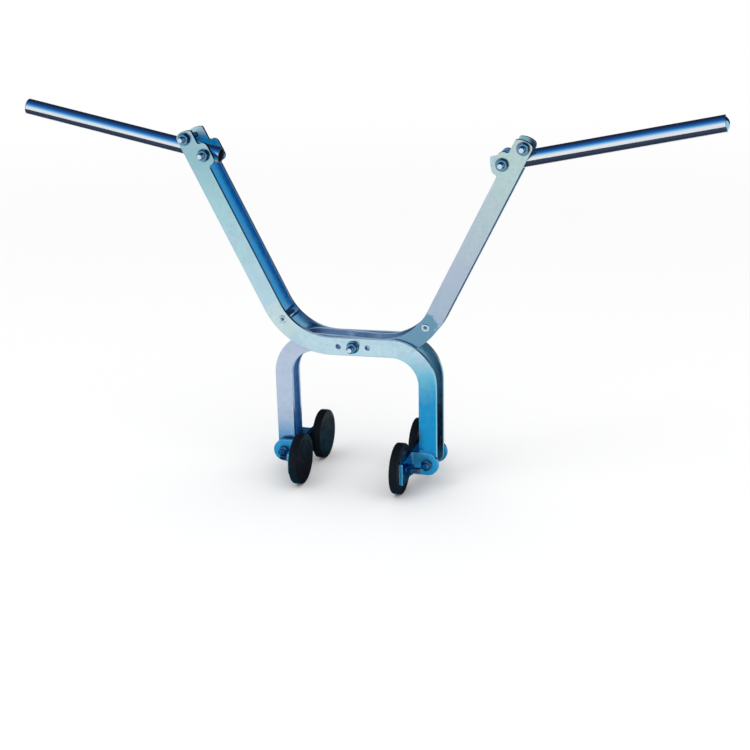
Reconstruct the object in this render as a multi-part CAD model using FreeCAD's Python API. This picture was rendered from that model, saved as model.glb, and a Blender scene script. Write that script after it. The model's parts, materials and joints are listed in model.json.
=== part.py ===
"""Lifting tongs that two people carry a heavy block with.

Two arms, each a pair of flat plates, cross at one pivot bolt. Lifting the tube handles closes the legs,
and four rubber discs grip the load. Sizes are millimetres and degrees. x runs across the load, y runs
along it with the front at -y, and z is up. The origin is the middle of the gap between the discs.
Arm A has its head on the left and its leg on the right, and arm B is its mirror image, nested inside it.
"""
import FreeCAD, Part
import math
import os

Vector = FreeCAD.Vector

# Grip: the gap between opposite discs, and how far behind its gripping face a pad swings.
grip_gap = 164.0
grip_to_pad_pivot = 48.0

# Arm plates, measured along the middle line from head to leg.
plate_thickness = 6.0
plate_width = 31.0
plate_edge_round = 0.8
pivot_height = 199.0
crossing_tilt = 1.5
crossing_run = 38.0
arm_slope = 63.4
arm_length = 317.0
arm_bend_radius = 114.0
leg_bend_radius = 62.0
spare_hole_pitch = 26.0
spacer_inset = 3.0
spacer_bend_share = 0.213
spacer_diameter = 18.0
spacer_neck_diameter = 12.0
spacer_bore = 8.0
spacer_rim_diameter = 14.0
spacer_rim_height = 1.0

# Head of an arm: a stop bolt near its end and a lobe round the hinge bolt, both off the middle line.
head_end = 12.2
head_end_radius = 32.0
head_outer_radius = 9.0
head_inner_radius = 3.0
stop_offset = 2.0
hinge_drop = 38.3
hinge_offset = 16.2
lobe_height = 13.5
lobe_flat = 21.0
lobe_radius = 9.5
lobe_blend_radius = 4.0

# Handle tubes, measured from the hinge bolt.
handle_diameter = 26.9
handle_wall = 2.6
handle_reach = 343.0
handle_tail = 20.3
handle_side_clearance = 0.3
stop_clearance = 0.3
bush_diameter = 16.0
cap_flange = 2.0
cap_dome_height = 4.5
cap_dome_diameter = 20.6
cap_spigot_length = 14.0

# Fasteners: one size of hexagon bolt and nut throughout.
bolt_diameter = 10.0
bolt_end_chamfer = 1.0
bolt_projection = 10.0
hexagon_width = 17.0
hexagon_chamfer = 1.2
head_height = 6.4
nut_height = 8.0
hole_clearance = 0.08
washer_diameter = 21.0
washer_thickness = 2.0
shim_diameter = 20.0
shim_thickness = 1.0
sleeve_diameter = 18.0

# Pads: a bar with two ears, and two rubber discs on studs.
bar_length = 180.0
bar_height = 40.0
bar_thickness = 6.0
bar_corner_radius = 4.0
ear_thickness = 6.0
ear_side_clearance = 0.5
weld_radius = 3.0
disc_diameter = 88.0
disc_thickness = 15.0
disc_edge_round = 2.0
stud_to_bar_end = 29.0
stud_plate_diameter = 60.0
stud_plate_thickness = 3.0
stud_projection = 14.0
pad_bolt_projection = 5.0

# Directions and the places of the plates, from the middle plane outwards.
to_front = Vector(0, -1, 0)
to_rear = Vector(0, 1, 0)
to_right = Vector(1, 0, 0)
origin = Vector(0, 0, 0)
right_angle = 90.0
straight_angle = 180.0
full_turn = 360.0
hexagon_sides = 6
handle_radius = handle_diameter / 2
bolt_radius = bolt_diameter / 2
hole_radius = bolt_radius + hole_clearance
b_inner = handle_radius + handle_side_clearance
b_outer = b_inner + plate_thickness
a_inner = b_outer + shim_thickness
a_outer = a_inner + plate_thickness
ear_inner = a_outer + ear_side_clearance
ear_outer = ear_inner + ear_thickness
disc_pitch = bar_length - 2 * stud_to_bar_end


def turned(angle):
    """Unit direction in the plane of the tongs, turned up from +x."""
    return Vector(math.cos(math.radians(angle)), 0, math.sin(math.radians(angle)))


def left_of(direction):
    """Unit direction to the left of someone walking along the given one."""
    return Vector(-direction.z, 0, direction.x)


# Middle line of arm A: down the arm, across the pivot, down the leg.
down_arm = turned(-arm_slope)
across = turned(crossing_tilt)
down_leg = turned(-right_angle)
inward = left_of(down_arm)
upward = left_of(across)
outward = left_of(down_leg)
main_pivot = Vector(0, 0, pivot_height)
pad_pivot = Vector(grip_gap / 2 + grip_to_pad_pivot, 0, 0)
arm_bend_foot = main_pivot - across * crossing_run
arm_bend_centre = arm_bend_foot + upward * arm_bend_radius
arm_bend_top = arm_bend_centre - inward * arm_bend_radius
head_place = arm_bend_top - down_arm * arm_length
stop_place = head_place - inward * stop_offset
hinge_place = head_place + down_arm * hinge_drop + inward * hinge_offset
leg_bend_run = (pad_pivot.x - leg_bend_radius + upward.x * leg_bend_radius) / across.x
leg_bend_start = main_pivot + across * leg_bend_run
leg_bend_centre = leg_bend_start - upward * leg_bend_radius
leg_bend_end = leg_bend_centre + outward * leg_bend_radius
bend_angle = arm_slope + crossing_tilt
spacer_angle = straight_angle + right_angle - arm_slope + spacer_bend_share * bend_angle
spacer_place = arm_bend_centre + turned(spacer_angle) * (arm_bend_radius - spacer_inset)

# The handle tube rises until it bears on the stop bolt.
hinge_to_stop = stop_place - hinge_place
stop_angle = math.degrees(math.atan2(hinge_to_stop.z, hinge_to_stop.x))
stop_gap = handle_radius + bolt_radius + stop_clearance
handle_angle = stop_angle + math.degrees(math.asin(stop_gap / hinge_to_stop.Length))
handle_direction = turned(handle_angle)


def outline(start, steps):
    """Closed wire from start through (centre, end) steps, where a centre of None is a straight line."""
    edges = []
    here = start
    for centre, there in steps:
        if centre is None:
            edges.append(Part.LineSegment(here, there).toShape())
        else:
            middle = (here - centre) + (there - centre)
            middle.normalize()
            edges.append(Part.Arc(here, centre + middle * (here - centre).Length, there).toShape())
        here = there
    return Part.Wire(edges)


def along(shape, base, direction):
    """The shape, made upwards from the origin, moved to base and pointed along direction."""
    shape.Placement = FreeCAD.Placement(base, FreeCAD.Rotation(Vector(0, 0, 1), direction))
    return shape


def rod(radius, base, direction, length):
    return along(Part.makeCylinder(radius, length), base, direction)


def ring(radius, base, direction, length):
    """A round piece with a bolt hole through it."""
    return rod(radius, base, direction, length).cut(rod(hole_radius, base, direction, length))


def hexagon(base, direction, height):
    """A hexagon prism with the corners of both ends turned off."""
    corner_radius = hexagon_width / math.sqrt(3)
    corners = []
    for side in range(hexagon_sides + 1):
        angle = math.radians(full_turn * side / hexagon_sides)
        corners.append(Vector(corner_radius * math.cos(angle), corner_radius * math.sin(angle), 0))
    prism = Part.Face(Part.makePolygon(corners)).extrude(Vector(0, 0, height))
    blank = Part.makeCylinder(corner_radius, height)
    circles = [edge for edge in blank.Edges if edge.Curve.TypeId == "Part::GeomCircle"]
    blank = blank.makeChamfer(hexagon_chamfer, circles)
    return along(prism.common(blank), base, direction)


def nut(base, direction):
    return hexagon(base, direction, nut_height).cut(rod(hole_radius, base, direction, nut_height))


def pointed_rod(base, direction, length):
    """A plain bolt shank with its far end chamfered."""
    taper = Part.makeCone(bolt_radius, bolt_radius - bolt_end_chamfer, bolt_end_chamfer)
    plain = length - bolt_end_chamfer
    shank = rod(bolt_radius, base, direction, plain)
    return shank.fuse(along(taper, base + direction * plain, direction)).removeSplitter()


def bolt(place, half_grip, projection):
    """A bolt with its head at the rear, through pieces that reach half_grip from the middle plane."""
    seat = place + to_rear * half_grip
    length = 2 * half_grip + nut_height + projection
    return pointed_rod(seat, to_front, length).fuse(hexagon(seat, to_rear, head_height)).removeSplitter()


def front_nut(place, half_grip):
    return nut(place + to_front * half_grip, to_front)


def drilled(shape, places, radius):
    """The shape with holes along y at the given places."""
    reach = shape.BoundBox.DiagonalLength
    for place in places:
        shape = shape.cut(rod(radius, place + to_front * reach, to_rear, reach + reach))
    return shape


def edges_where(shape, test):
    """Edges of a shape whose middle point passes the test."""
    return [edge for edge in shape.Edges if test(edge.valueAt(sum(edge.ParameterRange) / 2))]


def mirrored(shape):
    return shape.mirror(origin, to_right)


def end_round(end_centre, side, radius):
    """Centre of the round between the end of an arm and one of its sides."""
    sideways = (head_place + side * (plate_width / 2 - radius) - end_centre).dot(side)
    rise = math.sqrt((head_end_radius - radius) ** 2 - sideways ** 2)
    return end_centre + side * sideways - down_arm * rise


def plate_outline():
    """Outline of a plate of arm A at rest, from the head down its inner side and back up."""
    half = plate_width / 2
    end_centre = stop_place + down_arm * (head_end_radius - head_end)
    inner_corner = end_round(end_centre, inward, head_inner_radius)
    outer_corner = end_round(end_centre, -inward, head_outer_radius)
    inner_share = head_end_radius / (head_end_radius - head_inner_radius)
    outer_share = head_end_radius / (head_end_radius - head_outer_radius)
    lobe_middle = hinge_place + inward * (lobe_height - lobe_radius)
    lobe_top = lobe_middle - down_arm * (lobe_flat / 2)
    lobe_foot = lobe_middle + down_arm * (lobe_flat / 2)
    blend_gap = lobe_radius + lobe_blend_radius
    blend_rise = half + lobe_blend_radius - (lobe_middle - head_place).dot(inward)
    blend_run = math.sqrt(blend_gap ** 2 - blend_rise ** 2)
    blend_top = lobe_top - down_arm * blend_run + inward * blend_rise
    blend_foot = lobe_foot + down_arm * blend_run + inward * blend_rise
    lobe_share = lobe_radius / blend_gap
    start = inner_corner + inward * head_inner_radius
    return outline(start, [
        (None, blend_top - inward * lobe_blend_radius),
        (blend_top, lobe_top + (blend_top - lobe_top) * lobe_share),
        (lobe_top, lobe_top + inward * lobe_radius),
        (None, lobe_foot + inward * lobe_radius),
        (lobe_foot, lobe_foot + (blend_foot - lobe_foot) * lobe_share),
        (blend_foot, blend_foot - inward * lobe_blend_radius),
        (None, arm_bend_top + inward * half),
        (arm_bend_centre, arm_bend_foot + upward * half),
        (None, leg_bend_start + upward * half),
        (leg_bend_centre, leg_bend_end + outward * half),
        (None, pad_pivot + outward * half),
        (pad_pivot, pad_pivot + down_leg * half),
        (pad_pivot, pad_pivot - outward * half),
        (None, leg_bend_end - outward * half),
        (leg_bend_centre, leg_bend_start - upward * half),
        (None, arm_bend_foot - upward * half),
        (arm_bend_centre, arm_bend_top - inward * half),
        (None, outer_corner - inward * head_outer_radius),
        (outer_corner, end_centre + (outer_corner - end_centre) * outer_share),
        (end_centre, end_centre + (inner_corner - end_centre) * inner_share),
        (inner_corner, start),
    ])


def arm_plate(front_face):
    """A plate of arm A with its front face at the given y."""
    plate = Part.Face(plate_outline()).extrude(to_rear * plate_thickness)
    rims = [edge for edge in plate.Edges if edge.BoundBox.YLength < plate_edge_round]
    plate = plate.makeFillet(plate_edge_round, rims)
    spare = across * spare_hole_pitch
    places = [main_pivot, main_pivot - spare, main_pivot + spare, stop_place, hinge_place, pad_pivot]
    plate = drilled(plate, places, hole_radius)
    plate = drilled(plate, [spacer_place], spacer_neck_diameter / 2 + hole_clearance)
    plate.translate(Vector(0, front_face, 0))
    return plate


def arm_spacer(inner, outer):
    """A tube between the two plates of an arm, its necks riveted over outside the plates."""
    neck_radius = spacer_neck_diameter / 2
    body = rod(spacer_diameter / 2, spacer_place + to_front * inner, to_rear, 2 * inner)
    body = body.fuse(rod(neck_radius, spacer_place + to_front * outer, to_rear, 2 * outer))
    for side in (to_front, to_rear):
        rim = Part.makeCone(spacer_rim_diameter / 2, neck_radius, spacer_rim_height)
        body = body.fuse(along(rim, spacer_place + side * outer, side))
    return drilled(body.removeSplitter(), [spacer_place], spacer_bore / 2)


def handle_tube():
    start = hinge_place - handle_direction * handle_tail
    length = handle_tail + handle_reach
    tube = rod(handle_radius, start, handle_direction, length)
    tube = tube.cut(rod(handle_radius - handle_wall, start, handle_direction, length))
    return drilled(tube, [hinge_place], bush_diameter / 2 + hole_clearance)


def handle_cap():
    """A plug in the outer end of the tube, with a flange and a shallow dome."""
    spigot_radius = handle_radius - handle_wall - hole_clearance
    dome_radius = cap_dome_diameter / 2
    ball_radius = (dome_radius ** 2 + cap_dome_height ** 2) / (2 * cap_dome_height)
    flange = Part.makeCylinder(handle_radius, cap_flange)
    spigot = Part.makeCylinder(spigot_radius, cap_spigot_length, Vector(0, 0, -cap_spigot_length))
    ball = Part.makeSphere(ball_radius, Vector(0, 0, cap_flange + cap_dome_height - ball_radius))
    dome = ball.common(Part.makeCylinder(dome_radius, cap_dome_height, Vector(0, 0, cap_flange)))
    cap = flange.fuse(spigot).fuse(dome).removeSplitter()
    return along(cap, hinge_place + handle_direction * handle_reach, handle_direction)


def pad_bracket():
    """The right pad's bar with two round-ended ears welded to it."""
    half = bar_height / 2
    bar_back = pad_pivot.x - grip_to_pad_pivot + disc_thickness
    bar_front = bar_back + bar_thickness
    bar = Part.makeBox(bar_thickness, bar_length, bar_height, Vector(bar_back, -bar_length / 2, -half))
    corners = [edge for edge in bar.Edges if edge.BoundBox.XLength > bar_thickness / 2]
    bar = bar.makeFillet(bar_corner_radius, corners)
    top = Vector(bar_front, 0, half)
    foot = Vector(bar_front, 0, -half)
    tip = pad_pivot + Vector(half, 0, 0)
    ear_outline = outline(foot, [
        (None, pad_pivot - Vector(0, 0, half)),
        (pad_pivot, tip),
        (pad_pivot, pad_pivot + Vector(0, 0, half)),
        (None, top),
        (None, foot),
    ])
    bracket = bar
    for inner in (ear_inner, -ear_outer):
        ear = Part.Face(ear_outline).extrude(to_rear * ear_thickness)
        ear.translate(Vector(0, inner, 0))
        bracket = bracket.fuse(ear)
    bracket = bracket.removeSplitter()
    weld_lines = edges_where(bracket, lambda middle: on_weld_line(middle, bar_front))
    bracket = bracket.makeFillet(weld_radius, weld_lines)
    bracket = drilled(bracket, [pad_pivot], hole_radius)
    for stud in stud_places():
        bracket = bracket.cut(rod(hole_radius, stud, to_right, grip_to_pad_pivot))
    return bracket


def on_weld_line(middle, bar_front):
    """True half way along an edge where the side of an ear meets the bar."""
    off_ear = min(abs(abs(middle.y) - ear_inner), abs(abs(middle.y) - ear_outer))
    return max(abs(middle.x - bar_front), abs(middle.z), off_ear) < hole_clearance


def stud_places():
    """Centres of the right pad's gripping faces."""
    grip = pad_pivot.x - grip_to_pad_pivot
    return [Vector(grip, side * disc_pitch / 2, 0) for side in (-1, 1)]


def rubber_disc(centre):
    disc = rod(disc_diameter / 2, centre, to_right, disc_thickness)
    rims = [edge for edge in disc.Edges if edge.Curve.TypeId == "Part::GeomCircle"]
    disc = disc.makeFillet(disc_edge_round, rims)
    recess = centre + to_right * (disc_thickness - stud_plate_thickness)
    return disc.cut(rod(stud_plate_diameter / 2, recess, to_right, stud_plate_thickness))


def stud(centre):
    """A round plate bonded in the disc's back, with a stud through the bar."""
    plate_base = centre + to_right * (disc_thickness - stud_plate_thickness)
    plate = rod(stud_plate_diameter / 2, plate_base, to_right, stud_plate_thickness)
    stud_base = centre + to_right * disc_thickness
    length = bar_thickness + washer_thickness + nut_height + stud_projection
    return plate.fuse(pointed_rod(stud_base, to_right, length)).removeSplitter()


def stud_washer(centre):
    base = centre + to_right * (disc_thickness + bar_thickness)
    return ring(washer_diameter / 2, base, to_right, washer_thickness)


def stud_nut(centre):
    return nut(centre + to_right * (disc_thickness + bar_thickness + washer_thickness), to_right)


def both_sides(radius, place, inner, thickness):
    """A ring in front and one behind, from inner outwards, as one group."""
    front = ring(radius, place + to_front * inner, to_front, thickness)
    rear = ring(radius, place + to_rear * inner, to_rear, thickness)
    return Part.makeCompound([front, rear])


def pivot_nodes():
    """The main pivot's bolt and what is threaded on it."""
    grip = a_outer + washer_thickness
    return {
        "main_pivot_bolt": bolt(main_pivot, grip, bolt_projection),
        "main_pivot_nut": front_nut(main_pivot, grip),
        "main_pivot_washers": both_sides(washer_diameter / 2, main_pivot, a_outer, washer_thickness),
        "main_pivot_shims": both_sides(shim_diameter / 2, main_pivot, b_outer, shim_thickness),
        "main_pivot_sleeve": ring(sleeve_diameter / 2, main_pivot + to_front * b_inner, to_rear, 2 * b_inner),
    }


def arm_nodes(arm, side, inner, outer, turn):
    """The plates, spacer and bolts of one arm, whose head is on the given side."""
    return {
        arm + "_front_plate": turn(arm_plate(-outer)),
        arm + "_rear_plate": turn(arm_plate(inner)),
        arm + "_spacer_tube": turn(arm_spacer(inner, outer)),
        side + "_stop_bolt": turn(bolt(stop_place, outer, bolt_projection)),
        side + "_stop_nut": turn(front_nut(stop_place, outer)),
        side + "_hinge_bolt": turn(bolt(hinge_place, outer, bolt_projection)),
        side + "_hinge_nut": turn(front_nut(hinge_place, outer)),
    }


def handle_nodes(side, turn):
    bush_base = hinge_place + to_front * handle_radius
    return {
        side + "_handle_tube": turn(handle_tube()),
        side + "_handle_bush": turn(ring(bush_diameter / 2, bush_base, to_rear, handle_diameter)),
        side + "_handle_cap": turn(handle_cap()),
    }


def pad_nodes(side, turn):
    front, rear = stud_places()
    return {
        side + "_pad_bracket": turn(pad_bracket()),
        side + "_pad_front_disc": turn(rubber_disc(front)),
        side + "_pad_rear_disc": turn(rubber_disc(rear)),
        side + "_pad_studs": turn(Part.makeCompound([stud(front), stud(rear)])),
        side + "_pad_washers": turn(Part.makeCompound([stud_washer(front), stud_washer(rear)])),
        side + "_pad_nuts": turn(Part.makeCompound([stud_nut(front), stud_nut(rear)])),
        side + "_pad_pivot_bolt": turn(bolt(pad_pivot, ear_outer, pad_bolt_projection)),
        side + "_pad_pivot_nut": turn(front_nut(pad_pivot, ear_outer)),
    }


def as_made(shape):
    return shape


nodes = {}
nodes.update(pivot_nodes())
nodes.update(arm_nodes("arm_a", "left", a_inner, a_outer, as_made))
nodes.update(arm_nodes("arm_b", "right", b_inner, b_outer, mirrored))
nodes.update(handle_nodes("left", as_made))
nodes.update(handle_nodes("right", mirrored))
nodes.update(pad_nodes("right", as_made))
nodes.update(pad_nodes("left", mirrored))

# Rings that fill the wider gaps: beside the left tube, and beside arm B's leg in the left pad.
nodes["left_hinge_spacers"] = both_sides(shim_diameter / 2, hinge_place, b_inner, a_inner - b_inner)
leg_ring_length = ear_inner - ear_side_clearance - b_outer
nodes["left_pad_spacers"] = mirrored(both_sides(shim_diameter / 2, pad_pivot, b_outer, leg_ring_length))

os.makedirs("parts", exist_ok=True)
for name, shape in nodes.items():
    shape.exportStep(os.path.join("parts", name + ".step"))
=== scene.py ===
"""Looks of the lifting tongs: threads, nuts, welds, moulded pads, finishes, studio and camera.

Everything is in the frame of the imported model: x across the load, y along it with the front at -y, z up.
Places are in metres. The sizes of small pieces are in millimetres, and angles in radians, unless named degrees.
"""
import json
import math

import bmesh
import bpy
from mathutils import Matrix, Vector


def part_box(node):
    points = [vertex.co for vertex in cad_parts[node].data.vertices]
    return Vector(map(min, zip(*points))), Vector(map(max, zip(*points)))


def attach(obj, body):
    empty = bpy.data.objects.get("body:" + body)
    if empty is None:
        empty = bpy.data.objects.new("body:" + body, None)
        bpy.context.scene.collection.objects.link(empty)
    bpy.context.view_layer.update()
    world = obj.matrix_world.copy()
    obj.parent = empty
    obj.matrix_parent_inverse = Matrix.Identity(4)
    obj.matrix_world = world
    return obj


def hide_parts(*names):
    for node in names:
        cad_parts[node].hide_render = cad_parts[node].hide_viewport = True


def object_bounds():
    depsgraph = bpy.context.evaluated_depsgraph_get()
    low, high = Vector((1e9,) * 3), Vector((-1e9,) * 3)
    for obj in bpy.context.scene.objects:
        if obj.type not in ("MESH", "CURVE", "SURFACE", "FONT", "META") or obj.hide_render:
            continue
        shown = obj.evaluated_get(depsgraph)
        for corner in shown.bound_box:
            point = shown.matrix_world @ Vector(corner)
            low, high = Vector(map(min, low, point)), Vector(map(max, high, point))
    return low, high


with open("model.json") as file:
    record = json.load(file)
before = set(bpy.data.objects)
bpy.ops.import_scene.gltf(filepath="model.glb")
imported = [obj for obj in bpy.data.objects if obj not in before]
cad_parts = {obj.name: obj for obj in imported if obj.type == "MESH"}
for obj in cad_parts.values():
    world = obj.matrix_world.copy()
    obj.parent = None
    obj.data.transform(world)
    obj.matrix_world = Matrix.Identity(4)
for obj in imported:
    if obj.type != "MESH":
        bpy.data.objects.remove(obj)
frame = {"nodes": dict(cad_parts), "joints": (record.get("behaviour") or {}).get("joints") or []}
cad_low, cad_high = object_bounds()
nodes = frame["nodes"]
millimetre = 0.001
to_front = Vector((0, -1, 0))
to_rear = Vector((0, 1, 0))

# Mesh helpers.
columns = 48
sharp_degrees = 32.0


def link(name, verts, faces):
    """A new mesh object, smooth but for its sharp edges."""
    mesh = bpy.data.meshes.new(name)
    mesh.from_pydata(verts, [], faces)
    mesh.validate()
    shell = bmesh.new()
    shell.from_mesh(mesh)
    bmesh.ops.recalc_face_normals(shell, faces=shell.faces)
    shell.to_mesh(mesh)
    shell.free()
    for polygon in mesh.polygons:
        polygon.use_smooth = True
    mesh.set_sharp_from_angle(angle=math.radians(sharp_degrees))
    mesh.update()
    obj = bpy.data.objects.new(name, mesh)
    bpy.context.scene.collection.objects.link(obj)
    return obj


def skin(rings, loop=False):
    """Vertices and faces of rings of equal length: closed into a loop, or capped at both ends."""
    size = len(rings[0])
    verts = [point for ring in rings for point in ring]
    faces = []
    for row in range(len(rings) if loop else len(rings) - 1):
        here, there = row * size, (row + 1) % len(rings) * size
        for column in range(size):
            after = (column + 1) % size
            faces.append((here + column, here + after, there + after, there + column))
    if not loop:
        faces.append(tuple(range(size - 1, -1, -1)))
        faces.append(tuple(range((len(rings) - 1) * size, len(rings) * size)))
    return verts, faces


def circle(radius, height):
    """A ring of points; radius and height are numbers or functions of the angle."""
    points = []
    for column in range(columns):
        angle = 2 * math.pi * column / columns
        r = radius(angle) if callable(radius) else radius
        z = height(angle) if callable(height) else height
        points.append(Vector((r * math.cos(angle), r * math.sin(angle), z)))
    return points


def arc(centre_radius, centre_height, size, start, stop, steps):
    """Points (radius, height) of an arc in a turned profile, angles in degrees from the radius."""
    points = []
    for step in range(steps + 1):
        angle = math.radians(start + (stop - start) * step / steps)
        points.append((centre_radius + size * math.cos(angle), centre_height + size * math.sin(angle)))
    return points


def turned(parts, base, direction, roll=0.0):
    """Parts made along +z in millimetres, placed at base in metres and pointed along direction."""
    turn = Vector((0, 0, 1)).rotation_difference(direction).to_matrix().to_4x4()
    place = Matrix.Translation(base) @ turn @ Matrix.Rotation(roll, 4, "Z") @ Matrix.Scale(millimetre, 4)
    verts, faces = parts
    return [place @ Vector(v) for v in verts], faces


def joined(shells):
    """Several shells as the parts of one mesh."""
    verts, faces = [], []
    for some_verts, some_faces in shells:
        start = len(verts)
        verts += some_verts
        faces += [tuple(start + i for i in face) for face in some_faces]
    return verts, faces


def add(name, shell, body, slot, *replaced):
    """A finished piece on a body, in place of CAD nodes."""
    piece = link(name, *shell)
    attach(piece, body)
    if replaced:
        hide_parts(*replaced)
    return piece


def middle(name):
    """Middle of a CAD node's box."""
    low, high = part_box(name)
    return (low + high) / 2


# Fasteners, in millimetres.
hexagon_width = 17.0
hexagon_slope = math.tan(math.radians(30))
hexagon_face_share = 0.475
face_radius = hexagon_width * hexagon_face_share
head_height = 6.4
head_dish = ((0.5, 0.35), (0.82, 0.3), (0.88, 0.0), (1.0, 0.0))  # share of the face's radius, depth
head_corner = 0.6
head_collar = 0.5
nut_height = 8.0
shank_radius = 4.98
crest_radius = 4.94
thread_depth = 0.9
thread_pitch = 1.5
thread_rows = 8
thread_root_share = 0.12
thread_flank_share = 0.76
thread_end_radius = 3.9
thread_run_out = 0.6
thread_in_nut = 2.0
tip_radius = 0.6 * thread_end_radius
tip_dish = 0.25
bore_radius = 5.06
bore_mouth_radius = 5.75
bore_countersink = 0.8
washer_radius = 10.5
washer_bore_radius = bore_radius + 0.2
washer_thickness = 2.0
washer_edge = 0.35
washer_chamfer = 0.15
washer_roll = ((0.4 * washer_edge, 0.1), (1.4 * washer_edge, 0.0))  # inset, depth


def hexagon_radius(angle):
    side = math.pi / 3
    return hexagon_width / 2 / math.cos(angle % side - side / 2)


def chamfer_drop(angle):
    """How far below its face the turned-off corner of a hexagon reaches."""
    return (hexagon_radius(angle) - face_radius) * hexagon_slope


def thread_radius(height, length):
    """Radius of a thread at a height, as a function of the angle, chamfered towards its end."""
    def radius(angle):
        turn = (height / thread_pitch - angle / (2 * math.pi)) % 1.0
        flank = min(1.0, max(0.0, (abs(turn - 0.5) * 2 - thread_root_share) / thread_flank_share))
        return min(crest_radius - thread_depth * (1 - flank), thread_end_radius + length - height)
    return radius


def thread_rings(start, length):
    """Rings of a threaded end from start to its dished tip at length."""
    step = thread_pitch / thread_rows
    count = int(math.ceil((length - start) / step))
    heights = [start + (length - start) * row / count for row in range(count + 1)]
    rings = [circle(thread_radius(height, length), height) for height in heights]
    rings.append(circle(tip_radius, length - tip_dish))
    return rings


def bolt_shell(length, threaded):
    """A hexagon bolt: head below zero, shank and threaded end above."""
    rings = [circle(face_radius * share, -head_height + depth) for share, depth in head_dish]
    rings += [
        circle(hexagon_radius, lambda angle: -head_height + chamfer_drop(angle)),
        circle(hexagon_radius, -head_corner),
        circle(face_radius, -head_collar),
        circle(face_radius, 0.0),
        circle(shank_radius, 0.0),
        circle(shank_radius, length - threaded - thread_run_out),
    ]
    return skin(rings + thread_rings(length - threaded, length))


def nut_shell():
    """A hexagon nut with both faces turned and its bore countersunk."""
    return skin([
        circle(face_radius, 0.0),
        circle(hexagon_radius, chamfer_drop),
        circle(hexagon_radius, lambda angle: nut_height - chamfer_drop(angle)),
        circle(face_radius, nut_height),
        circle(bore_mouth_radius, nut_height),
        circle(bore_radius, nut_height - bore_countersink),
        circle(bore_radius, bore_countersink),
        circle(bore_mouth_radius, 0.0),
    ], loop=True)


def washer_shell():
    """A punched washer with a rolled outer edge."""
    rings = [
        circle(washer_radius - washer_chamfer, 0.0),
        circle(washer_radius, washer_chamfer),
        circle(washer_radius, washer_thickness - washer_edge),
    ]
    rings += [circle(washer_radius - inset, washer_thickness - depth) for inset, depth in washer_roll]
    rings += [
        circle(washer_bore_radius + washer_edge, washer_thickness),
        circle(washer_bore_radius, washer_thickness - washer_edge),
        circle(washer_bore_radius, 0.0),
    ]
    return skin(rings, loop=True)


# Bolts along y, with the head behind and the nut in front.
# Node stem, body, thread past the nut in millimetres, roll of the nut, roll of the bolt.
fasteners = [
    ("main_pivot", "arm_a", 10.0, 0.2, 0.5),
    ("left_stop", "arm_a", 10.0, 0.35, 0.1),
    ("left_hinge", "arm_a", 10.0, 0.1, 0.8),
    ("right_stop", "arm_b", 10.0, 0.55, 0.3),
    ("right_hinge", "arm_b", 10.0, 0.75, 0.6),
    ("right_pad_pivot", "right_pad", 5.0, 0.4, 0.2),
    ("left_pad_pivot", "left_pad", 5.0, 0.15, 0.7),
]
bolt_pieces, nut_pieces = [], []
pad_bolt_pieces, pad_nut_pieces = [], []
for stem, body, projection, nut_roll, bolt_roll in fasteners:
    on_pad = body.endswith("_pad")
    centre = middle(stem + "_nut")
    nut_low, nut_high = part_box(stem + "_nut")
    bolt_low, bolt_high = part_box(stem + "_bolt")
    seat = Vector((centre.x, bolt_high.y - head_height * millimetre, centre.z))
    length = (seat.y - bolt_low.y) / millimetre
    shell = turned(bolt_shell(length, projection + thread_in_nut), seat, to_front, bolt_roll)
    piece = add(stem + "_threaded_bolt", shell, body, "zinc_fastener", stem + "_bolt")
    (pad_bolt_pieces if on_pad else bolt_pieces).append(piece)
    shell = turned(nut_shell(), Vector((centre.x, nut_high.y, centre.z)), to_front, nut_roll)
    piece = add(stem + "_hex_nut", shell, body, "zinc_fastener", stem + "_nut")
    (pad_nut_pieces if on_pad else nut_pieces).append(piece)

washers_low, washers_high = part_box("main_pivot_washers")
centre = middle("main_pivot_washers")
shells = []
for outer_y, direction in ((washers_low.y, to_front), (washers_high.y, to_rear)):
    seat = Vector((centre.x, outer_y, centre.z)) - direction * washer_thickness * millimetre
    shells.append(turned(washer_shell(), seat, direction))
nut_pieces.append(
    add("main_pivot_round_washers", joined(shells), "arm_a", "zinc_fastener", "main_pivot_washers"))

# Pads, in millimetres: studs, nuts and washers along x, moulded rubber discs, weld beads on the brackets.
stud_plate_radius = 29.9
stud_plate_middle = 0.5 * stud_plate_radius
stud_plate_thickness = 3.0
stud_plate_gap = 0.05
stud_fillet = 1.0
stud_projection = 14.0
stud_run_out = 1.0
stud_nut_rolls = {"front": 0.3, "rear": 0.8}
disc_radius = 44.0
disc_thickness = 15.0
disc_round = 2.0
disc_round_steps = 6
disc_hub_radius = 1.0
groove_radii = (9.0, 15.0, 21.0, 27.0, 33.0)
groove_half = 1.0
groove_depth = 0.7
groove_flank = 0.35
groove_flank_depth = 0.75 * groove_depth
flash_height = 0.2
flash_foot = 0.45
flash_half = 0.12
recess_radius = 30.0
ear_outer = 33.25
bar_front = 103.0
weld_length = 38.6
weld_leg = 4.0
weld_sink = 0.3
weld_rows = 120
weld_steps = 8
weld_end_share = 0.78
weld_end_rows = 0.06 * weld_rows
ripple_length = 2.3
ripple_bow = 0.35
ripple_share = 0.05
bead_share = 0.80
bead_crown = 0.10
bead_power = 0.8


def stud_shell(length):
    """A stud welded on a thin round plate, from the plate's hidden face to the thread's end."""
    rings = [
        circle(stud_plate_middle, stud_plate_gap),
        circle(stud_plate_radius, stud_plate_gap),
        circle(stud_plate_radius, stud_plate_thickness),
        circle(shank_radius + stud_fillet, stud_plate_thickness),
        circle(shank_radius, stud_plate_thickness + stud_plate_gap),
        circle(shank_radius, length - stud_projection - thread_in_nut - stud_run_out),
    ]
    return skin(rings + thread_rings(length - stud_projection - thread_in_nut, length))


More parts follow.
